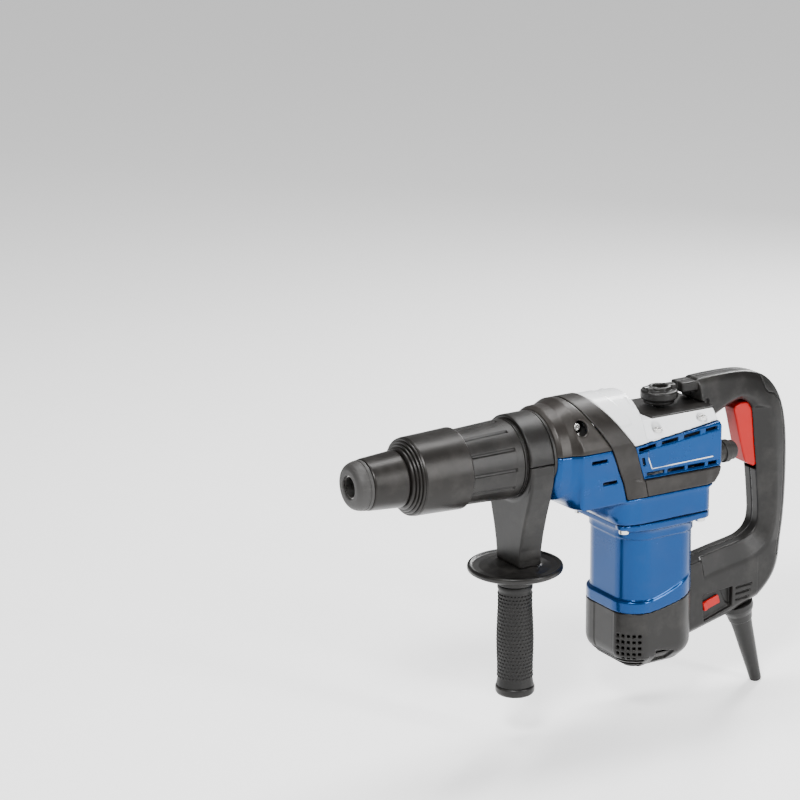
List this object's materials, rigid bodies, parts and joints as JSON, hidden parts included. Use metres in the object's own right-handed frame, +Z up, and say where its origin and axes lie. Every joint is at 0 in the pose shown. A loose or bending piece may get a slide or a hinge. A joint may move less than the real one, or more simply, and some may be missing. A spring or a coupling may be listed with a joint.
{
  "type": "rotary hammer",
  "caption": "Corded rotary hammer with a sliding chuck sleeve, swivelling side handle, vertical motor and rear D-handle with a trigger.",
  "frame": {"origin": "centre of the mouth of the tool holder's bore, on the spindle axis", "axes": "+X rearwards along the spindle axis, so the bit leaves along -X; +Z up, away from the motor; +Y to the tool's right-hand side seen from the front"},
  "size_m": [0.4635, 0.0928, 0.3157],
  "materials": {
    "rubber_black": "matt moulded rubber",
    "chuck_plastic": "satin charcoal moulding with a faint metallic sheen",
    "neck_plastic": "satin charcoal moulding",
    "handle_plastic": "fine textured charcoal moulding",
    "hood_plastic": "smooth satin dark grey moulding",
    "strap_plastic": "smooth satin dark grey moulding",
    "blue_shell": "semi-gloss blue",
    "white_cover": "glossy silver white",
    "red_plastic": "satin red",
    "soft_rubber": "soft-touch overmould",
    "grip_rubber": "pebbled soft-touch sleeve",
    "tool_steel": "ground hardened steel",
    "spring_steel": "oil-blackened spring wire",
    "bearing_steel": "polished bearing steel",
    "screw_steel": "zinc-plated steel",
    "gear_steel": "machined gear steel with an oil film",
    "plate_alloy": "die-cast aluminium",
    "gasket_black": "black seal",
    "lamination_steel": "stacked steel laminations",
    "winding_copper": "varnished copper wire",
    "commutator_copper": "turned copper bars",
    "fan_plastic": "glass-filled nylon",
    "brush_brass": "pressed brass",
    "carbon": "graphite",
    "boot_rubber": "flexible matt rubber",
    "clamp_nylon": "moulded nylon"
  },
  "bodies": {
    "housing": {"neck": "neck_plastic", "spindle_bearing": "bearing_steel", "upper_hood": "hood_plastic", "strap_band": "strap_plastic", "top_cover": "white_cover", "knob_deck": "neck_plastic", "rear_cover": "neck_plastic", "side_panel_left": "blue_shell", "side_panel_right": "blue_shell", "lower_trim": "strap_plastic", "gear_housing": "blue_shell", "rear_bumpers": "soft_rubber", "piston": "plate_alloy", "wrist_pin": "bearing_steel", "connecting_rod": "plate_alloy", "crankshaft": "gear_steel", "crank_gear": "gear_steel", "bevel_pinion": "gear_steel", "bevel_ring": "gear_steel", "bearing_plate": "plate_alloy", "shaft_bearings": "bearing_steel", "gasket": "gasket_black", "motor_housing": "blue_shell", "stator": "lamination_steel", "field_coils": "winding_copper", "armature_shaft": "gear_steel", "armature_core": "lamination_steel", "armature_windings": "winding_copper", "commutator": "commutator_copper", "cooling_fan": "fan_plastic", "brush_holders": "brush_brass", "carbon_brushes": "carbon", "motor_end_cap": "neck_plastic", "housing_screws": "screw_steel", "handle_shell_left": "handle_plastic", "handle_shell_right": "handle_plastic", "soft_grip": "soft_rubber", "switch_module": "fan_plastic", "cord_boot": "boot_rubber", "cord_clamp": "clamp_nylon"},
    "spindle": {"tool_holder": "tool_steel", "dust_cap": "rubber_black", "nose_sleeve": "chuck_plastic", "locking_rollers": "bearing_steel", "retaining_ring": "spring_steel", "chuck_spring": "spring_steel", "cylinder": "tool_steel"},
    "sleeve": {"locking_sleeve": "chuck_plastic"},
    "striker": {"striker": "tool_steel"},
    "beat_piece": {"beat_piece": "tool_steel"},
    "side_handle": {"clamp_band": "tool_steel", "clamp_cap": "handle_plastic", "handle_arm": "handle_plastic"},
    "grip": {"grip_bolt": "screw_steel", "hand_guard": "handle_plastic", "grip_sleeve": "grip_rubber", "grip_end_cap": "handle_plastic"},
    "knob": {"mode_knob": "handle_plastic"},
    "trigger": {"trigger": "red_plastic"},
    "lock_switch": {"lock_switch": "red_plastic"}
  },
  "joints": [
    {"name": "spindle_spin", "type": "hinge", "parent": "housing", "child": "spindle", "pos_m": [0.1, 0, 0], "axis": [1, 0, 0], "continuous": true},
    {"name": "sleeve_slide", "type": "slide", "parent": "spindle", "child": "sleeve", "axis": [1, 0, 0], "range_m": [0, 0.01], "stiffness_N_per_m": 1500, "springref_m": -0.012, "deforming": ["chuck_spring"]},
    {"name": "striker_slide", "type": "slide", "parent": "spindle", "child": "striker", "axis": [1, 0, 0], "range_m": [-0.0075, 0.0135]},
    {"name": "beat_piece_slide", "type": "slide", "parent": "spindle", "child": "beat_piece", "axis": [-1, 0, 0], "range_m": [0, 0.008]},
    {"name": "side_handle_swing", "type": "hinge", "parent": "housing", "child": "side_handle", "pos_m": [0.1695, 0, 0], "axis": [1, 0, 0], "continuous": true},
    {"name": "grip_turn", "type": "hinge", "parent": "side_handle", "child": "grip", "pos_m": [0.1658, 0, -0.15], "axis": [0, 0, 1], "continuous": true},
    {"name": "knob_turn", "type": "hinge", "parent": "housing", "child": "knob", "pos_m": [0.32, 0, 0.03], "axis": [0, 0, 1], "range_deg": [0, 180]},
    {"name": "trigger_pull", "type": "hinge", "parent": "housing", "child": "trigger", "pos_m": [0.424, 0, 0.008], "axis": [0, -1, 0], "range_deg": [0, 6], "stiffness_Nm_per_rad": 1.6, "springref_deg": -8.59},
    {"name": "lock_slide", "type": "slide", "parent": "housing", "child": "lock_switch", "axis": [0.9613, 0, 0.2756], "range_m": [0, 0.007]}
  ]
}
